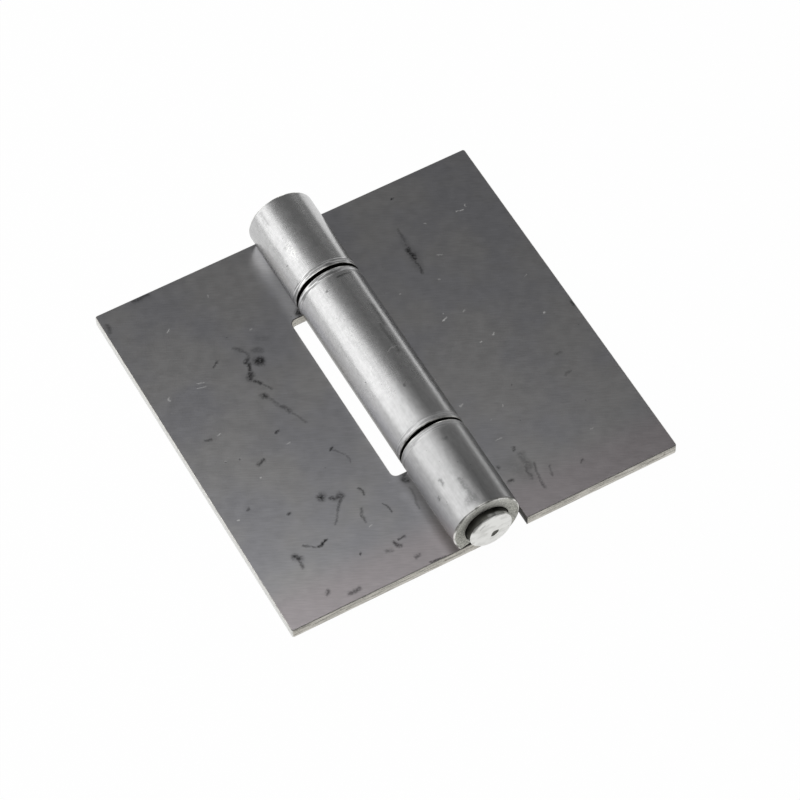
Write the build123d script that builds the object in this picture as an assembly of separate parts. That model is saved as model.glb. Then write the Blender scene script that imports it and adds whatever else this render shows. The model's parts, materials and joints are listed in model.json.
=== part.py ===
from build123d import *
import os
from math import cos, radians, sin

# An undrilled weld-on butt hinge, lying open and flat: two leaves cut from
# steel sheet, with their knuckles rolled out of the same sheet, and one pin.
# X runs across the hinge, Y along the pin and Z up. The leaves' undersides and
# the lowest line of the barrel are all at Z = 0, and the origin is under the
# middle of the pin.

# Driving dimensions, in millimetres and degrees
open_width = 100.0
leaf_length = 100.0
sheet = 3.0
pin_diameter = 10.85
bore_clearance = 0.075
near_knuckle = 24.8
far_knuckle = 24.4
knuckle_gap = 0.6
curl_turn = 290.0
lip_gap = 0.12
slot_clearance = 2.2
notch_clearance = 1.8
punch_radius = 1.5
plate_corner = 0.6
edge_roll = 0.35
pin_proud = 2.0
pin_chamfer = 0.35
grip_length = 9.0

# Sizes that follow
pin_radius = pin_diameter / 2
bore_radius = pin_radius + bore_clearance
barrel_radius = bore_radius + sheet
barrel_height = 2 * barrel_radius
half_length = leaf_length / 2
slot_near = near_knuckle - half_length
slot_far = half_length - far_knuckle
curl_end = curl_turn - 90
lip_drop = barrel_radius * (1 + sin(radians(curl_end))) - sheet - lip_gap
lip_length = lip_drop / -cos(radians(curl_end))
cut_margin = sheet
seam_tolerance = 0.01


def around_pin(radius, angle):
    """Point of the cross section at this radius and angle about the pin."""
    return Vector(radius * cos(radians(angle)), barrel_radius + radius * sin(radians(angle)))


def rolled_strip():
    """Sheet for the -X side: flat, then rolled over the pin and back down."""
    tangent = Vector(-sin(radians(curl_end)), cos(radians(curl_end))) * lip_length
    outer_end = around_pin(barrel_radius, curl_end)
    inner_end = around_pin(bore_radius, curl_end)
    with BuildSketch(Plane.XZ) as section:
        with BuildLine():
            Polyline((0, sheet), (-open_width / 2, sheet), (-open_width / 2, 0), (0, 0))
            CenterArc((0, barrel_radius), barrel_radius, -90, curl_turn)
            Polyline(outer_end, outer_end + tangent, inner_end + tangent, inner_end)
            CenterArc((0, barrel_radius), bore_radius, -90, curl_turn)
        make_face()
    return extrude(section.sketch, amount=half_length, both=True)


def punched_window(edge_clearance, y_from, y_to):
    """Cutter that clears the barrel's zone between two stations along the pin."""
    near_x = -barrel_radius - edge_clearance
    far_x = barrel_radius + cut_margin
    height = barrel_height + 2 * cut_margin
    cutter = Box(far_x - near_x, y_to - y_from, height, align=Align.MIN)
    cutter = Pos(near_x, y_from, -cut_margin) * cutter
    return fillet(cutter.edges().filter_by(Axis.Z).group_by(Axis.X)[0], punch_radius)


def finished(leaf):
    """Round the leaf's free corners and the lower edges that shearing rolls over."""
    corners = leaf.edges().filter_by(Axis.Z).group_by(Axis.X)[0]
    leaf = fillet(corners, plate_corner)
    underside = leaf.faces().filter_by(Plane.XY).group_by(Axis.Z)[0]
    lower_edges = ShapeList()
    for face in underside:
        for edge in face.outer_wire().edges():
            if edge.center().X < -seam_tolerance:
                lower_edges.append(edge)
    return fillet(lower_edges, edge_roll)


def slotted_leaf():
    """Leaf with the two end knuckles and a slot between them."""
    slot = punched_window(slot_clearance, slot_near, slot_far)
    return finished(rolled_strip() - slot)


def notched_leaf():
    """Leaf with the middle knuckle and a notch at each end, for the +X side."""
    leaf = rolled_strip()
    reach = half_length + cut_margin
    leaf -= punched_window(notch_clearance, -reach, slot_near + knuckle_gap)
    leaf -= punched_window(notch_clearance, slot_far - knuckle_gap, reach)
    return mirror(finished(leaf), about=Plane.YZ)


def turned_pin():
    """Straight pin with a chamfer at each end, gripped in the far knuckle."""
    pin = Cylinder(pin_radius, leaf_length + 2 * pin_proud)
    pin = chamfer(pin.edges().filter_by(GeomType.CIRCLE), pin_chamfer)
    grip = Cylinder(bore_radius, grip_length)
    pin += Pos(0, 0, half_length - far_knuckle / 2) * grip
    return Pos(0, 0, barrel_radius) * Rot(-90, 0, 0) * pin


nodes = {
    "left_leaf": slotted_leaf(),
    "right_leaf": notched_leaf(),
    "hinge_pin": turned_pin(),
}

os.makedirs("parts", exist_ok=True)
for name, solid in nodes.items():
    export_step(solid, f"parts/{name}.step")
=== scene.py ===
import json
import math

import bmesh
import bpy
from mathutils import Matrix, Vector


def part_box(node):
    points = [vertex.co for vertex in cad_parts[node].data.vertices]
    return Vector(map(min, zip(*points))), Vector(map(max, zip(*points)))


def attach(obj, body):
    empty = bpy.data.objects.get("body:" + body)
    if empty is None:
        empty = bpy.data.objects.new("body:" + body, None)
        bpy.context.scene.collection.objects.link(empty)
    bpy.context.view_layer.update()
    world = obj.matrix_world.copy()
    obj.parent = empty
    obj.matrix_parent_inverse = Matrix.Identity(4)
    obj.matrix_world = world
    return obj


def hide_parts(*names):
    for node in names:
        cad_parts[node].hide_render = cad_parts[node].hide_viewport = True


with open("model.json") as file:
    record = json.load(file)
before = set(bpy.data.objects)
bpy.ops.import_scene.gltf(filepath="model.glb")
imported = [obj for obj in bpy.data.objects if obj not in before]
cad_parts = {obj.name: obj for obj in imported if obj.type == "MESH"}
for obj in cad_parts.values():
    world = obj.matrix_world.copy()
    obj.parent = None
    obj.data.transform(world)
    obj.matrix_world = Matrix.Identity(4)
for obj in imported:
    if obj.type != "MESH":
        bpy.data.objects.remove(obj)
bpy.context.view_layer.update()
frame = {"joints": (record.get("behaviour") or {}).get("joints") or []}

# Camera
# A long lens from in front and to the left, looking down on the open hinge,
# tipped a few degrees as the photo is.
camera_place = Vector((-0.22117, -0.46450, 0.73884))
camera_aim = Vector((0.00190, -0.00526, 0.0))
camera_tip = math.radians(-3.43)
camera_data = bpy.data.cameras.new("camera")
camera_data.sensor_width = 36
camera_data.lens = 173.55
camera = bpy.data.objects.new("camera", camera_data)
level = (camera_aim - camera_place).to_track_quat("-Z", "Y").to_matrix()
camera.matrix_world = (level @ Matrix.Rotation(camera_tip, 3, "Z")).to_4x4()
camera.matrix_world.translation = camera_place
bpy.context.scene.collection.objects.link(camera)
bpy.context.scene.camera = camera
bpy.context.scene.view_settings.view_transform = "Standard"

# Floor and light
# A white table that stays white to the eye, keeping a trace of shadow, and nearly
# white in the metal, under a large soft box behind to the left, another overhead with a
# dimmer panel beside it, and a low fill behind to the right, in a dim room.
floor_half = 3.0
floor_gap = 0.00004
white_to_eye = 0.985
white_in_metal = 0.80
room_strength = 0.14


def linear(hex_colour):
    """sRGB hex, as in "#8A8A8C", to the linear colour that a socket takes."""
    channels = [int(hex_colour[i:i + 2], 16) / 255 for i in (1, 3, 5)]
    return [c / 12.92 if c <= 0.04045 else ((c + 0.055) / 1.055) ** 2.4 for c in channels] + [1.0]


def add_node(tree, kind, *inputs, sockets=None, **settings):
    """Adds a node with its settings. Its inputs come in the order in which the node shows them,
    or by their names in sockets. Each is a value, a hex colour, or a node or socket to link."""
    node = tree.nodes.new("ShaderNode" + kind)
    for name, value in settings.items():
        setattr(node, name, value)
    shown = [socket for socket in node.inputs if socket.enabled]
    wanted = list(zip(shown, inputs))
    wanted += [(node.inputs[name], value) for name, value in (sockets or {}).items()]
    for socket, value in wanted:
        if isinstance(value, bpy.types.Node):
            value = next(output for output in value.outputs if output.enabled)
        if isinstance(value, bpy.types.NodeSocket):
            tree.links.new(value, socket)
        elif isinstance(value, str):
            socket.default_value = linear(value)
        else:
            socket.default_value = value
    return node


def new_material(name):
    """An empty node material and its tree."""
    material = bpy.data.materials.new(name)
    material.use_nodes = True
    material.node_tree.nodes.clear()
    return material, material.node_tree


bm = bmesh.new()
bmesh.ops.create_grid(bm, x_segments=1, y_segments=1, size=floor_half)
bmesh.ops.translate(bm, verts=bm.verts, vec=(0, 0, -floor_gap))
floor_mesh = bpy.data.meshes.new("floor")
bm.to_mesh(floor_mesh)
bm.free()
floor = bpy.data.objects.new("floor", floor_mesh)
bpy.context.scene.collection.objects.link(floor)

# Matt white paper: the eye and the metal see it evenly lit, and its own shading
# shows through just enough to leave a faint shadow under the leaves.
paper, tree = new_material("white_paper_sweep")
path = add_node(tree, "LightPath").outputs
mirrored = add_node(tree, "Math", path["Is Glossy Ray"], path["Is Transmission Ray"], operation="MAXIMUM")
mirrored = add_node(tree, "Math", mirrored, white_in_metal, operation="MULTIPLY")
share = add_node(tree, "Math", path["Is Camera Ray"], white_to_eye, operation="MULTIPLY")
share = add_node(tree, "Math", share, mirrored, operation="MAXIMUM")
matt = add_node(tree, "BsdfDiffuse", "#F2F2F2")
white = add_node(tree, "Emission", "#FFFFFF", 1.0)
mixed = add_node(tree, "MixShader", share, matt, white)
add_node(tree, "OutputMaterial", mixed)
floor_mesh.materials.append(paper)

room = bpy.data.worlds.new("dim_room")
room.use_nodes = True
tree = room.node_tree
tree.nodes.clear()
path = add_node(tree, "LightPath").outputs
room_light = add_node(tree, "Background", "#FFFFFF", room_strength)
backdrop = add_node(tree, "Background", "#FFFFFF", 1.0)
mixed = add_node(tree, "MixShader", path["Is Camera Ray"], room_light, backdrop)
add_node(tree, "OutputWorld", mixed)
bpy.context.scene.world = room

# Each soft box: its middle, the point it faces, its width and height in metres,
# its turn in degrees about its own line of sight, and its power in watts.
soft_boxes = {
    "left_soft_box": ((-0.44, 0.40, 0.25), (0, 0, 0), 0.68, 0.44, 0, 1.35),
    "overhead_box": ((-0.20, 0.06, 0.45), (-0.20, 0.06, 0), 0.54, 0.44, -34, 1.02),
    "front_panel": ((0.0, -0.01, 0.45), (0.0, -0.01, 0), 0.28, 0.40, 0, 0.20),
    "low_fill": ((0.32, 0.56, 0.09), (0, 0, 0), 0.34, 0.18, 0, 0.50),
}
for name, (place, aim, width, height, turn, power) in soft_boxes.items():
    lamp = bpy.data.lights.new(name, "AREA")
    lamp.shape = "RECTANGLE"
    lamp.size = width
    lamp.size_y = height
    lamp.energy = power
    lamp_object = bpy.data.objects.new(name, lamp)
    facing = (Vector(aim) - Vector(place)).to_track_quat("-Z", "Y").to_matrix()
    facing = facing @ Matrix.Rotation(math.radians(turn), 3, "Z")
    lamp_object.location = place
    lamp_object.rotation_euler = facing.to_euler()
    lamp_object.visible_camera = False
    bpy.context.scene.collection.objects.link(lamp_object)

# Leaves
# Each leaf is one blank of 3 mm mild steel sheet, punched flat and then rolled
# over the pin. Punching rounds the lower edge over and leaves a fine burr on top,
# and the rolling tool burnishes the outside of the knuckles.

# Sizes of the sheet, of its punching and of its rolling, in metres. The curl is bent in steps of
# roll_step, and the flat part stays flat up to flat_guard from the first of them.
leaf_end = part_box("left_leaf")[1][1]
leaf_outer = -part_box("left_leaf")[0][0]
barrel_radius = frame["joints"][0]["pos_m"][2]
sheet = 0.003
curl_turn = math.radians(290)
lip_gap = 0.00012
slot_near = -0.0252
slot_far = 0.0256
knuckle_gap = 0.0006
slot_edge = barrel_radius + 0.0022
notch_edge = barrel_radius + 0.0018
punch_radius = 0.0015
plate_corner = 0.0006
edge_roll = 0.00035
burr = 0.00014
roll_step = math.radians(2.5)
flat_guard = 0.0004

# An edge stays sharp past crease_angle. A face is skin where the height of its normal is
# over skin_from, cut where it is under cut_below, and arris between the two.
crease_angle = math.radians(30)
corner_segments = 6
edge_roll_segments = 4
burr_segments = 1
skin_from = 0.999
cut_below = 0.05

curl_end = curl_turn - math.pi / 2
curl_length = curl_turn * barrel_radius
lip_drop = barrel_radius * (1 + math.sin(curl_end)) - sheet - lip_gap
blank_end = curl_length - lip_drop / math.cos(curl_end)
same_place = 1e-7
SKIN, ARRIS, CUT = 0, 1, 2


def punched_blank(outline):
    """The flat blank: its outline with rounded corners, its thickness, edge roll and burr."""
    bm = bmesh.new()
    corners = [(bm.verts.new((x, y, 0)), radius) for x, y, radius in outline]
    bm.faces.new([corner for corner, radius in corners])
    for wanted in (plate_corner, punch_radius):
        bmesh.ops.bevel(bm, geom=[corner for corner, radius in corners if radius == wanted],
                        affect="VERTICES", offset=wanted, segments=corner_segments, profile=0.5, material=-1)
    raised = bmesh.ops.extrude_face_region(bm, geom=bm.faces[:])
    bmesh.ops.translate(bm, verts=[v for v in raised["geom"] if isinstance(v, bmesh.types.BMVert)],
                        vec=(0, 0, sheet))
    bmesh.ops.recalc_face_normals(bm, faces=bm.faces[:])
    for height, width, segments in ((0, edge_roll, edge_roll_segments), (sheet, burr, burr_segments)):
        rim = [e for e in bm.edges if all(abs(v.co.z - height) < burr / 2 for v in e.verts)]
        bmesh.ops.bevel(bm, geom=rim, affect="EDGES", offset=width, segments=segments,
                        profile=0.5, material=-1)
    for face in bm.faces:
        up = abs(face.normal.z)
        face.material_index = SKIN if up > skin_from else CUT if up < cut_below else ARRIS
    return bm


def roll_over_pin(bm):
    """Bends the blank's tabs over the pin, as the rolling tool does."""
    steps = int(curl_turn / roll_step)
    stations = [-flat_guard] + [step * roll_step * barrel_radius for step in range(steps + 1)]
    for station in stations:
        bmesh.ops.bisect_plane(bm, geom=bm.verts[:] + bm.edges[:] + bm.faces[:],
                               plane_co=(station, 0, 0), plane_no=(1, 0, 0))
    for vert in bm.verts:
        along, y, height = vert.co
        if along > 0:
            angle = min(along, curl_length) / barrel_radius - math.pi / 2
            straight = max(along - curl_length, 0)
            reach = barrel_radius - height
            vert.co = (reach * math.cos(angle) - straight * math.sin(angle), y,
                       barrel_radius + reach * math.sin(angle) + straight * math.cos(angle))


def piece_from(bm, name, materials, node, body):
    """Makes the mesh an object in the frame, smooth but for its creases and changes of surface."""
    for face in bm.faces:
        face.smooth = True
    for edge in bm.edges:
        same = len({face.material_index for face in edge.link_faces}) == 1
        edge.smooth = same and edge.calc_face_angle(0) < crease_angle
    mesh = bpy.data.meshes.new(name)
    bm.to_mesh(mesh)
    bm.free()
    for material in materials:
        mesh.materials.append(material)
    piece = bpy.data.objects.new(name, mesh)
    bpy.context.scene.collection.objects.link(piece)
    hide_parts(node)
    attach(piece, body)


# Settings that many nodes share, and where the knuckles meet along the pin.
mm = 0.001
smooth = {"interpolation_type": "SMOOTHSTEP"}
in_colour = {"data_type": "RGBA"}
gap_edges = (slot_near, slot_near + knuckle_gap, slot_far - knuckle_gap, slot_far)
gap_middles = (slot_near + knuckle_gap / 2, slot_far - knuckle_gap / 2)
noise_spread = (0.3, 0.7)

# Where the flat leaf turns into the knuckle: above the table, and across towards the pin.
curl_above = (sheet + 0.00005, sheet + 0.0004)
curl_inside = (0.0015, -0.0005)

# A mark reaches this far through the skin in mm, and its rim this far past its half width.
mark_depth = 1.3
mark_rim = 1.15


def mottle(tree, place, size, detail=2.0, stretch=(1, 1, 1), turn=0.0):
    """Noise whose grains are of this size in mm, drawn out by the stretch after a turn about Z."""
    scale = [1 / (size * mm * part) for part in stretch]
    grid = add_node(tree, "Mapping", place, sockets={"Rotation": (0, 0, -math.radians(turn))})
    grid = add_node(tree, "VectorMath", grid, scale, operation="MULTIPLY")
    return add_node(tree, "TexNoise", sockets={"Vector": grid, "Scale": 1.0, "Detail": detail})


def shaken(tree, place, size, reach):
    """The place, moved about by up to this reach in mm, so that a mark has a ragged outline."""
    cloud = mottle(tree, place, size, 3).outputs["Color"]
    shake = add_node(tree, "VectorMath", cloud, (0.5, 0.5, 0.5), operation="SUBTRACT")
    shake = add_node(tree, "VectorMath", shake, 2 * reach * mm, operation="SCALE")
    return add_node(tree, "VectorMath", place, shake, operation="ADD")


def spotted(tree, place, marks):
    """Soft round-ended marks, listed one by one: x, y, z, half length, half width in mm, turn, strength."""
    total = 0.0
    for x, y, z, half_length, half_width, turn, strength in marks:
        own = add_node(tree, "Mapping", place, sockets={
            "Location": (x * mm, y * mm, z * mm), "Rotation": (0, 0, math.radians(turn)),
            "Scale": (half_width * mm, half_width * mm, mark_depth * mm)}, vector_type="TEXTURE")
        folded = add_node(tree, "VectorMath", own, operation="ABSOLUTE")
        straight = (half_length / half_width - 1, 0, 0)
        past_end = add_node(tree, "VectorMath", folded, straight, operation="SUBTRACT")
        past_end = add_node(tree, "VectorMath", past_end, (0, 0, 0), operation="MAXIMUM")
        reach = add_node(tree, "VectorMath", past_end, operation="LENGTH")
        mark = add_node(tree, "MapRange", reach, mark_rim, 0.0, 0.0, strength, **smooth)
        total = add_node(tree, "Math", total, mark, operation="MAXIMUM")
    return total


def specks(tree, place, spacing, radius, share, stretch=(1, 1, 1)):
    """Scattered small spots: one to a cell of this spacing in mm, in this share of the cells."""
    scale = [1 / (spacing * mm * part) for part in stretch]
    grid = add_node(tree, "VectorMath", place, scale, operation="MULTIPLY")
    cell = add_node(tree, "TexVoronoi", sockets={"Vector": grid, "Scale": 1.0})
    spot = add_node(tree, "MapRange", cell, radius / spacing, 0.4 * radius / spacing, **smooth)
    drawn = add_node(tree, "SeparateColor", cell.outputs["Color"])
    kept = add_node(tree, "MapRange", drawn, 1 - share, 1 - 0.7 * share, **smooth)
    return add_node(tree, "Math", spot, kept, operation="MULTIPLY")


def curled_part(tree, place, side):
    """1 on the knuckles and 0 on the flat leaf, which lies on this side of the pin."""
    across, _, height = add_node(tree, "SeparateXYZ", place).outputs
    over = add_node(tree, "MapRange", height, *curl_above, **smooth)
    inward = add_node(tree, "Math", across, side, operation="MULTIPLY")
    past = add_node(tree, "MapRange", inward, *curl_inside, **smooth)
    return add_node(tree, "Math", over, past, operation="MAXIMUM")


def from_station(tree, along, station):
    """How far a point is from this station along the pin."""
    apart = add_node(tree, "Math", along, station, operation="SUBTRACT")
    return add_node(tree, "Math", apart, operation="ABSOLUTE")


# Tones of the sheet's skin, each growing between two places in metres: along the pin,
# across it or above the table. Several of those on the knuckles are painted light and shade.
near_tint = (-0.036, -0.046)
shade_near = (0.0, -0.045)
shade_far = (0.038, 0.047)
light_near = (-0.005, -0.040)
lower_half = (0.0065, 0.0125)
ring_reach = (0.0021, 0.0018)
crown_left = (-0.0040, -0.0012)
crown_right = (0.0032, 0.0012)
right_side = (0.0012, 0.0032)
film_near = (-0.029, -0.044)
rough_near = (-0.005, -0.035)
rings_fade = (-0.005, 0.005)
skin_relief = 0.000009


# Mild steel sheet, hot-rolled, pickled and oiled, and burnished by the rolling tool. To the
# eye it is a satin grey with a grain across the leaf and bluish clouds, dark where oil dried
# and bright at nicks, and its knuckles are shinier, mottled and ringed beside the gaps. Light
# and shade are painted into the knuckles' colour: lighter on top and darker low down by the
# leaf, with painted shade towards the near end, painted light at the far end and on the right
# side, and painted glints on the worn patches.
# The real grain and pits are too fine to show, so they are drawn several times coarser.
def mill_finish_steel(name, side, oil_marks, nicks, worn):
    """The skin of one leaf, with its own marks."""
    material, tree = new_material(name)
    place = add_node(tree, "TexCoord").outputs["Object"]
    across, along, height_up = add_node(tree, "SeparateXYZ", place).outputs
    curled = curled_part(tree, place, side)
    cloud = mottle(tree, place, 2.4, 4)
    grain = mottle(tree, place, 0.35, 2, stretch=(9, 1, 9), turn=-28)
    satin = mottle(tree, place, 0.5, 3, stretch=(1, 7, 1))
    turned = mottle(tree, place, 0.34, 4, stretch=(11, 1, 11))

    bluish = add_node(tree, "MapRange", mottle(tree, place, 16, 3), 0.35, 0.65, **smooth)
    leaf = add_node(tree, "Mix", bluish, "#AFAFB3", "#B7B6B6", **in_colour)
    near = add_node(tree, "MapRange", along, *near_tint, **smooth)
    leaf = add_node(tree, "Mix", near, leaf, "#BBB5B7", **in_colour)
    clouded = add_node(tree, "MapRange", cloud, *noise_spread, -0.018, 0.018, **smooth)
    grained = add_node(tree, "MapRange", grain, *noise_spread, -0.05, 0.05, **smooth)
    leaf_tone = add_node(tree, "Math", clouded, grained, operation="ADD")

    # Painted light and shade: low down by the leaf the knuckle is dark, darker towards the near end and
    # light at the far end, and its top is lighter, dimmed towards the near end.
    low = "#8E8E8C"
    for reach, there in ((shade_near, "#64625F"), (shade_far, "#C4C4C4")):
        share = add_node(tree, "MapRange", along, *reach, **smooth)
        low = add_node(tree, "Mix", share, low, there, **in_colour)
    lighter = add_node(tree, "MapRange", along, *light_near, **smooth)
    high = add_node(tree, "Mix", lighter, "#C6C6C6", "#B8B8B8", **in_colour)
    upper = add_node(tree, "MapRange", height_up, *lower_half, **smooth)
    knuckle = add_node(tree, "Mix", upper, low, high, **in_colour)

    scuffed = add_node(tree, "MapRange", mottle(tree, place, 1.1, 5), 0.3, 0.72, -0.045, 0.05, **smooth)
    brushed = add_node(tree, "MapRange", satin, *noise_spread, -0.045, 0.045, **smooth)
    roll_tone = add_node(tree, "Math", scuffed, brushed, operation="ADD")
    # Painted shade on the knuckles' crown towards the near end, and painted light on their right side.
    from_left = add_node(tree, "MapRange", across, *crown_left, **smooth)
    to_right = add_node(tree, "MapRange", across, *crown_right, **smooth)
    crown = add_node(tree, "Math", from_left, to_right, operation="MULTIPLY")
    film = add_node(tree, "MapRange", along, *film_near, 0.0, -0.2, **smooth)
    filmed = add_node(tree, "Math", crown, film, operation="MULTIPLY")
    lit = add_node(tree, "MapRange", across, *right_side, 0.0, 0.1, **smooth)
    filmed = add_node(tree, "Math", filmed, lit, operation="ADD")
    roll_tone = add_node(tree, "Math", roll_tone, filmed, operation="ADD")

    ends = 0.0
    for station in gap_edges:
        beside = add_node(tree, "MapRange", from_station(tree, along, station), *ring_reach, **smooth)
        ends = add_node(tree, "Math", ends, beside, operation="MAXIMUM")
    ends = add_node(tree, "Math", ends, curled, operation="MULTIPLY")
    ringed = add_node(tree, "MapRange", turned, 0.42, 0.58, -0.5, 0.45, **smooth)
    ringed = add_node(tree, "Math", ends, ringed, operation="MULTIPLY")
    faded = add_node(tree, "MapRange", along, *rings_fade, 0.4, 1.0, **smooth)
    ringed = add_node(tree, "Math", ringed, faded, operation="MULTIPLY")

    tone = add_node(tree, "Mix", curled, leaf_tone, roll_tone)
    tone = add_node(tree, "Math", tone, ringed, operation="ADD")
    tone = add_node(tree, "Math", tone, 1.0, operation="ADD")
    colour = add_node(tree, "Mix", curled, leaf, knuckle, **in_colour)
    colour = add_node(tree, "VectorMath", colour, tone, operation="SCALE")

    ragged = shaken(tree, shaken(tree, place, 2.4, 0.8), 0.5, 0.35)
    blotch = add_node(tree, "MapRange", mottle(tree, place, 0.6, 4), 0.30, 0.54, 0.4, 1.0, **smooth)
    oil = add_node(tree, "Math", spotted(tree, ragged, oil_marks), blotch, operation="MULTIPLY")
    pits = specks(tree, ragged, 3.2, 0.3, 0.22)
    fine_pits = add_node(tree, "Math", specks(tree, place, 1.1, 0.16, 0.3), curled, operation="MULTIPLY")
    dark = oil
    for marks, strength in ((pits, 0.4), (fine_pits, 0.35)):
        faint = add_node(tree, "Math", marks, strength, operation="MULTIPLY")
        dark = add_node(tree, "Math", dark, faint, operation="MAXIMUM")
    colour = add_node(tree, "Mix", dark, colour, "#2C2C2C", **in_colour)

    dust = add_node(tree, "Math", specks(tree, ragged, 3.6, 0.22, 0.16, stretch=(1.6, 1, 1)), 0.4,
                    operation="MULTIPLY")
    # Worn patches on the knuckles: partly real wear, partly painted glints.
    broken = add_node(tree, "MapRange", mottle(tree, place, 0.45, 2), 0.45, 0.62, **smooth)
    shine = add_node(tree, "Math", spotted(tree, ragged, worn), broken, operation="MULTIPLY")
    light = add_node(tree, "Math", spotted(tree, ragged, nicks), dust, operation="MAXIMUM")
    light = add_node(tree, "Math", light, shine, operation="MAXIMUM")
    colour = add_node(tree, "Mix", light, colour, "#ECECEA", **in_colour)

    knuckle_rough = add_node(tree, "MapRange", along, *rough_near, 0.27, 0.33, **smooth)
    rough = add_node(tree, "Mix", curled, 0.30, knuckle_rough)
    cloud_rough = add_node(tree, "MapRange", cloud, *noise_spread, -0.01, 0.01, **smooth)
    rough = add_node(tree, "Math", rough, cloud_rough, operation="ADD")
    scratched = add_node(tree, "Math", ends, light, operation="ADD")
    scratched = add_node(tree, "Math", scratched, 0.12, operation="MULTIPLY")
    rough = add_node(tree, "Math", rough, scratched, operation="ADD")

    height = add_node(tree, "Math", grain, 0.35, operation="MULTIPLY")
    sunk = add_node(tree, "Math", pits, fine_pits, operation="ADD")
    sunk = add_node(tree, "Math", sunk, 1.2, operation="MULTIPLY")
    height = add_node(tree, "Math", height, sunk, operation="SUBTRACT")
    ridged = add_node(tree, "Math", turned, ends, operation="MULTIPLY")
    ridged = add_node(tree, "Math", ridged, 2.0, operation="MULTIPLY")
    height = add_node(tree, "Math", height, ridged, operation="ADD")
    bump = add_node(tree, "Bump", sockets={"Strength": 1.0, "Distance": skin_relief, "Height": height})
    bsdf = add_node(tree, "BsdfPrincipled", sockets={"Base Color": colour, "Metallic": 1.0,
                                                     "Roughness": rough, "Normal": bump})
    add_node(tree, "OutputMaterial", bsdf)
    return material


# Places on the cut faces, in metres, and the height of their relief.
notch_side = (notch_edge + 0.0003, notch_edge + 0.0001)
outer_face = (leaf_outer - 0.0004, leaf_outer - 0.0001)
tear_from = (0.0010, 0.0013)
tear_waver = 0.0004
ring_rubbed = (0.0095, 0.0150)
cut_relief = 0.00006


def oily_gap(tree, along, curled, outward, side):
    """1 in the gaps between the knuckles and down the sides of the notches, where black shade is painted."""
    inside = 0.0
    for station in gap_middles:
        away = from_station(tree, along, station)
        near_gap = add_node(tree, "MapRange", away, knuckle_gap, 0.6 * knuckle_gap, **smooth)
        inside = add_node(tree, "Math", inside, near_gap, operation="MAXIMUM")
    inside = add_node(tree, "Math", inside, curled, operation="MULTIPLY")
    if side > 0:
        notch = add_node(tree, "MapRange", outward, *notch_side, 0, 0.95, **smooth)
        inside = add_node(tree, "Math", inside, notch, operation="MAXIMUM")
    return inside


# The same sheet where the punch and the shear cut it. To the eye it is a warm grey band, clean
# below and torn and speckled above, drawn out in layers, with rust spots. Painted black shade
# fills the gaps and the sides of the notches, and painted light makes the faces round the pin
# lighter towards the top and the outer end faces lighter. The speckle is drawn coarser than the
# real tear.
def sheared_steel(name, side):
    """The cut faces of one leaf."""
    material, tree = new_material(name)
    place = add_node(tree, "TexCoord").outputs["Object"]
    across, along, height_up = add_node(tree, "SeparateXYZ", place).outputs
    curled = curled_part(tree, place, side)
    section = add_node(tree, "CombineXYZ", across, height_up)
    arm = add_node(tree, "VectorMath", section, (0, barrel_radius, 0), operation="DISTANCE")
    from_skin = add_node(tree, "Math", barrel_radius, arm, operation="SUBTRACT")
    depth = add_node(tree, "Mix", curled, height_up, from_skin)

    waver = mottle(tree, place, 1.6, 3)
    waver = add_node(tree, "MapRange", waver, 0.2, 0.8, -tear_waver, tear_waver, **smooth)
    waver = add_node(tree, "Math", depth, waver, operation="ADD")
    torn = add_node(tree, "MapRange", waver, *tear_from, **smooth)
    speckle = mottle(tree, place, 0.28, 4)
    grade = add_node(tree, "MapRange", speckle, *noise_spread, **smooth)
    layers = add_node(tree, "CombineXYZ", across, along, depth)
    drawn = mottle(tree, layers, 0.35, 3, stretch=(16, 16, 1))
    clean_tone = add_node(tree, "Mix", grade, "#B0ADA5", "#C6C3BB", **in_colour)
    rough_tone = add_node(tree, "Mix", grade, "#A19F98", "#CFCCC3", **in_colour)
    colour = add_node(tree, "Mix", torn, clean_tone, rough_tone, **in_colour)
    pitted = add_node(tree, "Mix", grade, "#7C7E78", "#CBCCC4", **in_colour)
    # Painted light: the cut faces round the pin are lighter towards the top.
    rubbed = add_node(tree, "MapRange", height_up, *ring_rubbed, 0, 0.5, **smooth)
    pitted = add_node(tree, "Mix", rubbed, pitted, "#F0F1EC", **in_colour)

    outward = add_node(tree, "Math", across, operation="ABSOLUTE")
    rust = specks(tree, shaken(tree, place, 0.6, 0.3), 2.6, 0.4, 0.25)
    coats = (
        (add_node(tree, "MapRange", drawn, 0.42, 0.62, 0, 0.6, **smooth), "#EAE7DF"),
        (add_node(tree, "MapRange", drawn, 0.44, 0.32, 0, 0.5, **smooth), "#6B6963"),
        (add_node(tree, "Math", curled, 0.75, operation="MULTIPLY"), pitted),
        # Painted light on the outer end faces.
        (add_node(tree, "MapRange", outward, *outer_face, **smooth), "#EBEBE8"),
        # Painted black shade in the gaps and down the sides of the notches.
        (oily_gap(tree, along, curled, outward, side), "#161513"),
        (add_node(tree, "Math", rust, 0.45, operation="MULTIPLY"), "#6B5646"),
    )
    for share, coat in coats:
        colour = add_node(tree, "Mix", share, colour, coat, **in_colour)

    height = add_node(tree, "Math", speckle, torn, operation="MULTIPLY")
    ribbed = add_node(tree, "Math", drawn, 0.3, operation="MULTIPLY")
    height = add_node(tree, "Math", height, ribbed, operation="ADD")
    bump = add_node(tree, "Bump", sockets={"Strength": 1.0, "Distance": cut_relief, "Height": height})
    rougher = add_node(tree, "Math", torn, curled, operation="MAXIMUM")
    rough = add_node(tree, "MapRange", rougher, 0, 1, 0.42, 0.62, **smooth)
    bsdf = add_node(tree, "BsdfPrincipled", sockets={"Base Color": colour, "Metallic": 1.0,
                                                     "Roughness": rough, "Normal": bump})
    add_node(tree, "OutputMaterial", bsdf)
    return material


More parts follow.
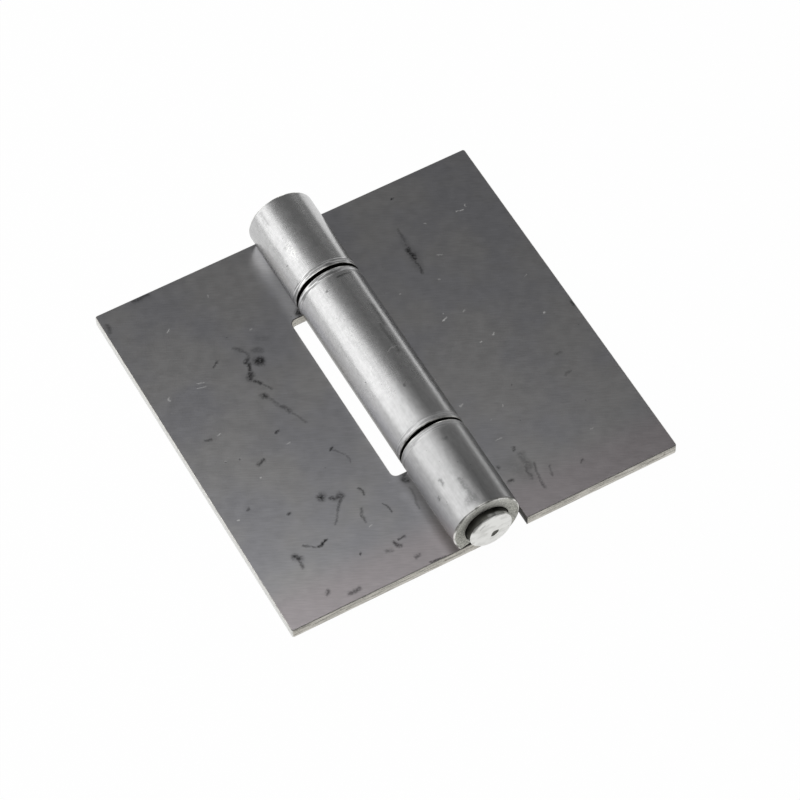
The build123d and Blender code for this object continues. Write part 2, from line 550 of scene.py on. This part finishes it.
# Places on the arris, in metres: the knuckles' rim, the gaps and beside the far end of the slot.
rim_above = (sheet + 0.0002, sheet + 0.0008)
gap_reach = (0.00042, 0.00056)
slot_side = (slot_edge + 0.0006, slot_edge + 0.0002)
slot_last = (slot_far - 0.002, slot_far - 0.001)
arris_relief = 0.00002


# The corner that punching rounds over on one side and leaves as a burr on the other. To the eye
# it is a bright line round each leaf, broken on the knuckles, dark beside the far end of the
# slot and black with painted shade in the gaps.
def bright_arris(name):
    """The burnished edges of both leaves."""
    material, tree = new_material(name)
    place = add_node(tree, "TexCoord").outputs["Object"]
    across, along, height_up = add_node(tree, "SeparateXYZ", place).outputs
    worn = mottle(tree, place, 0.8, 3)
    grade = add_node(tree, "MapRange", worn, *noise_spread, **smooth)
    flat_tone = add_node(tree, "Mix", grade, "#B4B2AD", "#DAD8D3", **in_colour)
    curled = add_node(tree, "MapRange", height_up, *rim_above, **smooth)
    rubbed = add_node(tree, "MapRange", mottle(tree, place, 2.6, 4), 0.40, 0.60, **smooth)
    broken = add_node(tree, "Mix", rubbed, "#80807B", "#ECEBE7", **in_colour)
    colour = add_node(tree, "Mix", curled, flat_tone, broken, **in_colour)
    # Painted shade: the arris turns black in the gaps between the knuckles.
    for station, reach in zip(gap_middles, gap_reach):
        away = from_station(tree, along, station)
        inside = add_node(tree, "MapRange", away, reach, 0.88 * reach, **smooth)
        inside = add_node(tree, "Math", inside, curled, operation="MULTIPLY")
        colour = add_node(tree, "Mix", inside, colour, "#161513", **in_colour)
    outward = add_node(tree, "Math", across, operation="ABSOLUTE")
    beside_slot = add_node(tree, "MapRange", outward, *slot_side, **smooth)
    slot_end = add_node(tree, "MapRange", along, *slot_last, **smooth)
    beside_slot = add_node(tree, "Math", beside_slot, slot_end, operation="MULTIPLY")
    flat_part = add_node(tree, "Math", 1.0, curled, operation="SUBTRACT")
    beside_slot = add_node(tree, "Math", beside_slot, flat_part, operation="MULTIPLY")
    colour = add_node(tree, "Mix", beside_slot, colour, "#33322F", **in_colour)
    bump = add_node(tree, "Bump", sockets={"Strength": 1.0, "Distance": arris_relief, "Height": worn})
    bsdf = add_node(tree, "BsdfPrincipled", sockets={"Base Color": colour, "Metallic": 1.0,
                                                     "Roughness": 0.36, "Normal": bump})
    add_node(tree, "OutputMaterial", bsdf)
    return material


def stroke(x_from, y_from, x_to, y_to, half_width, strength):
    """A mark drawn across a leaf's top face from one point to another, in mm."""
    length = math.hypot(x_to - x_from, y_to - y_from) / 2 + 0.4 * half_width
    turn = math.degrees(math.atan2(y_to - y_from, x_to - x_from))
    return ((x_from + x_to) / 2, (y_from + y_to) / 2, sheet / mm, length, half_width, turn, strength)


# Marks of handling on each leaf's top face and knuckles, listed one by one.
left_oil = [
    stroke(-23.3, 19.7, -21.0, 18.4, 1.7, 1.0),
    stroke(-23.9, 21.1, -25.5, 20.0, 0.9, 0.8),
    stroke(-24.4, 20.1, -25.1, 17.2, 0.7, 0.85),
    stroke(-25.1, 17.2, -26.9, 15.3, 1.1, 0.9),
    stroke(-26.0, 15.0, -24.5, 12.9, 0.8, 0.75),
    stroke(-24.5, 12.9, -23.3, 10.5, 0.45, 0.45),
    stroke(-25.8, 25.5, -23.8, 22.7, 0.7, 0.4),
    stroke(-23.8, 22.7, -24.1, 20.2, 0.5, 0.35),
    stroke(-22.6, 23.0, -19.9, 21.1, 1.1, 0.35),
    stroke(-20.0, 25.5, -17.5, 23.5, 1.2, 0.18),
    stroke(-26.2, 10.6, -25.3, 8.8, 1.2, 0.85),
    stroke(-25.3, 8.8, -23.9, 5.4, 0.55, 0.35),
    stroke(-23.9, 5.4, -22.3, 2.5, 0.75, 0.5),
    stroke(-22.3, 2.5, -20.7, -2.0, 0.45, 0.35),
    stroke(-28.6, -1.0, -27.3, -0.5, 0.6, 1.0),
    stroke(-36.1, -6.9, -33.8, -6.0, 0.75, 0.75),
    stroke(-28.3, -21.6, -26.6, -21.9, 1.6, 1.0),
    stroke(-26.0, -22.6, -25.0, -24.1, 0.8, 0.8),
    stroke(-25.0, -24.1, -22.9, -23.1, 1.2, 0.75),
    stroke(-22.9, -23.1, -26.1, -27.2, 0.6, 0.65),
    stroke(-26.1, -27.2, -28.4, -29.9, 0.4, 0.5),
    stroke(-18.9, -23.5, -18.6, -26.2, 0.5, 0.65),
    stroke(-21.2, -28.7, -22.0, -33.0, 0.5, 0.55),
    stroke(-34.5, -33.2, -31.5, -32.5, 0.6, 1.0),
    stroke(-37.5, -31.2, -34.7, -33.1, 0.4, 0.6),
    stroke(-40.7, -32.4, -39.1, -34.6, 1.2, 0.9),
    stroke(-39.6, -34.3, -40.2, -36.7, 0.6, 0.6),
    stroke(-19.3, -40.4, -17.8, -42.8, 0.7, 0.8),
    stroke(-17.9, -40.6, -16.0, -40.5, 0.5, 0.7),
    stroke(-22.0, -42.0, -19.8, -42.6, 0.8, 0.45),
    stroke(-34.5, -47.6, -31.0, -47.8, 0.9, 0.7),
    stroke(-39.0, -45.6, -37.5, -44.7, 0.7, 0.65),
    stroke(-32.4, 22.4, -30.4, 24.2, 0.5, 0.6),
    stroke(-40.5, 49.2, -36.0, 49.6, 1.2, 0.6),
    stroke(-48.9, 43.5, -48.5, 46.5, 0.9, 0.5),
    stroke(-16.0, -30.2, -15.3, -33.6, 0.4, 0.6),
    stroke(-16.9, -46.9, -15.4, -46.6, 0.6, 0.6),
    (-42.8, 5.3, 3, 1.1, 0.5, -20, 0.6),
    (-43.6, -16.4, 3, 0.8, 0.4, 30, 0.6),
    (-36.0, -22.1, 3, 0.8, 0.45, 20, 0.8),
    (-19.3, -11.2, 3, 0.8, 0.45, 30, 0.8),
    (-27.0, -39.6, 3, 0.6, 0.5, 30, 0.8),
    (-5.0, 36.8, 15.4, 0.9, 0.9, 0, 0.4),
    (-5.4, 46.9, 14.9, 2.6, 0.7, 90, 0.3),
    (-5.4, -38.9, 15.0, 1.4, 0.6, 90, 0.5),
    (-7.2, -41.2, 12.8, 0.8, 0.5, 90, 0.5),
    (0.5, -30.0, 17.0, 0.9, 0.6, 0, 0.4),
    (-2.4, -47.3, 16.6, 2.4, 1.8, 0, 0.45),
    (-1.9, -44.0, 16.7, 3.6, 0.8, 94, 0.4),
    stroke(-8.4, 26.4, -6.2, 27.8, 1.3, 1.0),
    stroke(-9.0, -26.4, -8.2, -28.0, 0.9, 0.8),
    stroke(-8.6, -29.0, -9.4, -36.0, 0.5, 0.35),
    stroke(-19.5, -11.3, -17.0, -14.5, 0.4, 0.35),
    stroke(-17.0, -14.5, -17.2, -17.0, 0.4, 0.35),
    stroke(-14.5, -49.7, -10.3, -49.7, 0.5, 0.8),
]
left_nicks = [
    stroke(-37.2, 37.2, -36.2, 38.0, 0.22, 0.8),
    stroke(-24.2, 41.5, -23.8, 42.3, 0.2, 0.5),
    stroke(-37.9, 20.6, -35.9, 20.2, 0.2, 0.6),
    stroke(-38.4, 19.4, -36.2, 19.0, 0.18, 0.5),
    stroke(-45.6, 19.6, -45.2, 20.6, 0.22, 0.6),
    stroke(-40.4, 5.0, -39.4, 5.4, 0.2, 0.6),
    stroke(-27.4, -4.9, -26.4, -4.7, 0.2, 0.6),
    stroke(-21.9, -34.4, -20.9, -34.1, 0.2, 0.6),
    (-19.6, 28.3, 3, 0.5, 0.25, 0, 0.5),
    (-37.1, -9.8, 3, 0.4, 0.35, 0, 0.95),
    (-46.9, -17.7, 3, 0.5, 0.3, 20, 0.7),
]
# Worn patches: partly real wear, partly painted glints.
left_worn = [
    (-4.4, 35.0, 15.7, 3.4, 1.8, 90, 1.0),
    (-6.6, 42.0, 13.8, 3.4, 1.4, 90, 0.3),
]
right_oil = [
    (27.8, 45.2, 3, 0.6, 0.5, 0, 1.0),
    stroke(24.6, 37.0, 23.7, 30.9, 0.6, 0.4),
    stroke(23.7, 30.9, 23.5, 26.6, 1.1, 0.9),
    stroke(23.5, 26.6, 23.4, 21.9, 0.6, 0.6),
    stroke(24.2, 34.0, 23.4, 23.0, 1.6, 0.25),
    stroke(17.9, -33.6, 17.4, -39.1, 1.4, 0.4),
    stroke(19.1, -37.5, 17.9, -45.1, 0.6, 0.5),
    stroke(16.8, -37.5, 16.6, -41.8, 0.9, 0.5),
    stroke(14.0, -34.0, 17.0, -42.0, 3.0, 0.2),
    stroke(11.3, -39.7, 12.9, -39.6, 0.8, 0.75),
    stroke(17.4, -31.4, 16.9, -33.0, 0.6, 0.6),
    (11.3, -34.8, 3, 0.7, 0.7, 0, 0.7),
    (38.5, -20.0, 3, 1.2, 0.5, 20, 0.35),
    (39.4, -13.9, 3, 1.1, 0.5, 10, 0.35),
    (49.3, -3.4, 3, 1.1, 0.6, 90, 0.7),
    (28.9, -42.9, 3, 0.8, 0.5, 30, 0.55),
    stroke(21.8, -39.9, 21.0, -43.0, 0.4, 0.4),
    (-3.3, 19.9, 16.3, 0.5, 0.5, 0, 0.8),
    (2.9, 22.4, 16.5, 2.6, 0.4, 8, 0.75),
    (4.4, 8.5, 15.8, 4.0, 0.9, 90, 0.4),
    (3.4, 1.0, 16.3, 5.0, 0.9, 90, 0.4),
    (-0.2, -12.7, 17.0, 0.6, 0.4, 90, 0.5),
]
right_nicks = [
    stroke(38.8, 34.3, 41.0, 33.6, 0.22, 1.0),
    stroke(41.7, 34.2, 42.2, 35.0, 0.22, 0.9),
    stroke(28.4, 25.2, 30.0, 24.9, 0.2, 0.6),
    stroke(20.3, 7.6, 21.6, 7.9, 0.3, 1.0),
    stroke(21.4, 9.0, 21.9, 9.6, 0.2, 0.7),
    stroke(28.7, -1.9, 29.5, -1.5, 0.22, 0.9),
    stroke(25.2, -2.1, 25.8, -1.7, 0.25, 0.9),
    stroke(12.4, -15.8, 13.2, -15.4, 0.22, 0.6),
    stroke(20.6, -20.9, 21.0, -20.2, 0.22, 0.6),
    stroke(43.6, 9.4, 44.2, 9.8, 0.2, 0.6),
    stroke(14.2, -28.4, 16.0, -28.0, 0.2, 0.5),
    (30.6, 34.9, 3, 0.5, 0.3, 0, 0.7),
    (25.9, 18.7, 3, 0.6, 0.25, 0, 0.6),
    (26.3, 7.6, 3, 0.5, 0.25, 20, 0.6),
    (15.8, 19.5, 3, 0.4, 0.25, 0, 0.6),
    (42.5, -2.4, 3, 0.5, 0.35, 0, 1.0),
    (35.5, -36.2, 3, 0.6, 0.25, 0, 0.5),
    (2.2, -2.0, 16.7, 1.6, 0.15, 20, 0.7),
]
# Worn patches: partly real wear, partly painted glints.
right_worn = [
    (-3.8, 5.0, 16.1, 5.0, 1.4, 90, 0.25),
]

left_steel = mill_finish_steel("mild_steel_mill_finish_left", -1.0, left_oil, left_nicks, left_worn)
right_steel = mill_finish_steel("mild_steel_mill_finish_right", 1.0, right_oil, right_nicks, right_worn)
left_cut = sheared_steel("mild_steel_sheared_edge_left", -1.0)
right_cut = sheared_steel("mild_steel_sheared_edge_right", 1.0)
arris = bright_arris("mild_steel_burnished_arris")

left = punched_blank([
    (-leaf_outer, -leaf_end, plate_corner),
    (blank_end, -leaf_end, 0),
    (blank_end, slot_near, 0),
    (-slot_edge, slot_near, punch_radius),
    (-slot_edge, slot_far, punch_radius),
    (blank_end, slot_far, 0),
    (blank_end, leaf_end, 0),
    (-leaf_outer, leaf_end, plate_corner),
])
roll_over_pin(left)
piece_from(left, "slotted_leaf", [left_steel, arris, left_cut], "left_leaf", "fixed_leaf")

right = punched_blank([
    (-leaf_outer, -leaf_end, plate_corner),
    (-notch_edge, -leaf_end, 0),
    (-notch_edge, slot_near + knuckle_gap, punch_radius),
    (blank_end, slot_near + knuckle_gap, 0),
    (blank_end, slot_far - knuckle_gap, 0),
    (-notch_edge, slot_far - knuckle_gap, punch_radius),
    (-notch_edge, leaf_end, 0),
    (-leaf_outer, leaf_end, plate_corner),
])
roll_over_pin(right)
bmesh.ops.scale(right, verts=right.verts, vec=(-1, 1, 1))
bmesh.ops.remove_doubles(right, verts=right.verts[:], dist=same_place)
bmesh.ops.recalc_face_normals(right, faces=right.faces[:])
piece_from(right, "notched_leaf", [right_steel, arris, right_cut], "right_leaf", "swinging_leaf")

# Pin
# A length of bright round bar, parted off and chamfered in the lathe, gripped in
# the far knuckle and standing a little proud of both end knuckles. Parting off
# has torn a small pit in the near face, a little off its middle.
pin_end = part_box("hinge_pin")[1][1]
pin_radius = 0.005425
pin_chamfer = 0.00015
grip_radius = barrel_radius - sheet
grip_middle = (leaf_end + slot_far) / 2
grip_half = 0.0045
pin_sides = 96

# The pit: its middle, across and above the pin's axis in metres, the reach of its
# rough outline in mm, and each step down as shares of its depth and of that reach.
pit_place = (0.0009, -0.0018)
pit_reach = (1.0, 1.25, 0.9, 0.9, 0.75, 0.8, 1.3, 1.0, 0.7, 0.7)
pit_depth = 0.0003
pit_steps = ((0.0, 1.0), (0.6, 0.75), (1.0, 0.35))
rim_guard = 1e-6

# Painted shade along the upper rim of the near face, written as the leaves' marks are, with the
# height for y.
pin_grime = [
    (-3.4, 12.4, 0, 2.4, 0.8, 46, 0.75),
    (-0.4, 13.6, 0, 2.2, 0.6, 12, 0.6),
    (2.6, 13.0, 0, 1.6, 0.35, -16, 0.45),
    (-2.2, 11.0, 0, 1.2, 0.5, 40, 0.3),
]

profile = [
    (pin_radius - pin_chamfer, -pin_end),
    (pin_radius, pin_chamfer - pin_end),
    (pin_radius, grip_middle - grip_half),
    (grip_radius, grip_middle - grip_half),
    (grip_radius, grip_middle + grip_half),
    (pin_radius, grip_middle + grip_half),
    (pin_radius, pin_end - pin_chamfer),
    (pin_radius - pin_chamfer, pin_end),
]
pin = bmesh.new()
points = [pin.verts.new((radius, y, barrel_radius)) for radius, y in profile]
chain = [pin.edges.new(pair) for pair in zip(points, points[1:])]
bmesh.ops.spin(pin, geom=points + chain, cent=(0, 0, barrel_radius), axis=(0, 1, 0), steps=pin_sides,
               angle=2 * math.pi, use_merge=True)
bmesh.ops.remove_doubles(pin, verts=pin.verts[:], dist=same_place)
near_rim = [e for e in pin.edges if all(abs(v.co.y + pin_end) < rim_guard for v in e.verts)]
far_rim = [e for e in pin.edges if all(abs(v.co.y - pin_end) < rim_guard for v in e.verts)]
bmesh.ops.edgeloop_fill(pin, edges=far_rim)
pit = []
for depth, spread in pit_steps:
    ring = []
    for step, reach in enumerate(pit_reach):
        angle = 2 * math.pi * step / len(pit_reach)
        ring.append(pin.verts.new((pit_place[0] + spread * reach * mm * math.cos(angle),
                                   depth * pit_depth - pin_end,
                                   barrel_radius + pit_place[1] + spread * reach * mm * math.sin(angle))))
    pit.append([pin.edges.new((ring[i - 1], ring[i])) for i in range(len(ring))])
bmesh.ops.bridge_loops(pin, edges=near_rim + pit[0])
sunk = bmesh.ops.bridge_loops(pin, edges=pit[0] + pit[1])["faces"]
sunk += bmesh.ops.bridge_loops(pin, edges=pit[1] + pit[2])["faces"]
sunk += bmesh.ops.edgeloop_fill(pin, edges=pit[2])["faces"]
bmesh.ops.recalc_face_normals(pin, faces=pin.faces[:])
for face in sunk:
    face.material_index = 1

# Bright drawn bar with a turned end. To the eye the end face is nearly white, with faint
# smears and turning marks and painted shade along its upper rim, and the side has painted
# shade, darkest where it goes into the knuckle, with a painted highlight on one part. The
# turning marks are drawn coarser than the real ones.
side_from = pin_radius - 0.00003
side_full = pin_radius - 0.00001
rubbed_along = (leaf_end + 0.0013, leaf_end + 0.0018)
rubbed_across = (-0.0008, 0.0006)
oiled_along = (leaf_end + 0.0019, leaf_end + 0.0004)
smear_waver = 0.0008
turning_relief = 0.00002
bright, tree = new_material("bright_drawn_steel_turned_end")
place = add_node(tree, "TexCoord").outputs["Object"]
across, lengthwise, height_up = add_node(tree, "SeparateXYZ", place).outputs
smear = mottle(tree, place, 1.8, 4, stretch=(1.6, 1, 1))
turning = mottle(tree, place, 0.3, 2, stretch=(5, 5, 1))
smeared = add_node(tree, "MapRange", smear, 0.3, 0.6, **smooth)
colour = add_node(tree, "Mix", smeared, "#D6D6D2", "#F2F2EF", **in_colour)
spots = specks(tree, shaken(tree, place, 0.5, 0.2), 1.5, 0.2, 0.2)
spots = add_node(tree, "Math", spots, 0.4, operation="MULTIPLY")
colour = add_node(tree, "Mix", spots, colour, "#8A8984", **in_colour)

# Painted shade on the side, darkest next to the knuckle, and a painted highlight on its right half near the
# end.
along = add_node(tree, "Math", lengthwise, operation="ABSOLUTE")
wavy = add_node(tree, "Math", smear, smear_waver, operation="MULTIPLY")
wavy = add_node(tree, "Math", along, wavy, operation="ADD")
rubbed = add_node(tree, "MapRange", wavy, *rubbed_along, **smooth)
rubbed_side = add_node(tree, "MapRange", across, *rubbed_across, **smooth)
rubbed = add_node(tree, "Math", rubbed, rubbed_side, operation="MULTIPLY")
oiled = add_node(tree, "MapRange", along, *oiled_along, **smooth)
side = add_node(tree, "Mix", oiled, "#6A6A64", "#22221F", **in_colour)
side = add_node(tree, "Mix", rubbed, side, "#F2F2EF", **in_colour)
section = add_node(tree, "CombineXYZ", across, height_up)
arm = add_node(tree, "VectorMath", section, (0, barrel_radius, 0), operation="DISTANCE")
on_side = add_node(tree, "MapRange", arm, side_from, side_full, **smooth)
colour = add_node(tree, "Mix", on_side, colour, side, **in_colour)
# Painted shade along the upper rim of the near face.
grime = spotted(tree, shaken(tree, section, 0.5, 0.3), pin_grime)
colour = add_node(tree, "Mix", grime, colour, "#4A4A46", **in_colour)
rough = add_node(tree, "MapRange", smear, *noise_spread, 0.36, 0.48, **smooth)
bump = add_node(tree, "Bump", sockets={"Strength": 1.0, "Distance": turning_relief, "Height": turning})
bsdf = add_node(tree, "BsdfPrincipled", sockets={"Base Color": colour, "Metallic": 1.0,
                                                 "Roughness": rough, "Normal": bump})
add_node(tree, "OutputMaterial", bsdf)

# The torn pit: rougher than the face round it and darker, partly torn grey steel and partly
# painted shade.
torn, tree = new_material("bright_drawn_steel_torn_pit")
place = add_node(tree, "TexCoord").outputs["Object"]
colour = add_node(tree, "Mix", mottle(tree, place, 0.3, 3), "#4A4A46", "#9A9A94", **in_colour)
bsdf = add_node(tree, "BsdfPrincipled", sockets={"Base Color": colour, "Metallic": 1.0, "Roughness": 0.6})
add_node(tree, "OutputMaterial", bsdf)
piece_from(pin, "turned_pin", [bright, torn], "hinge_pin", "fixed_leaf")
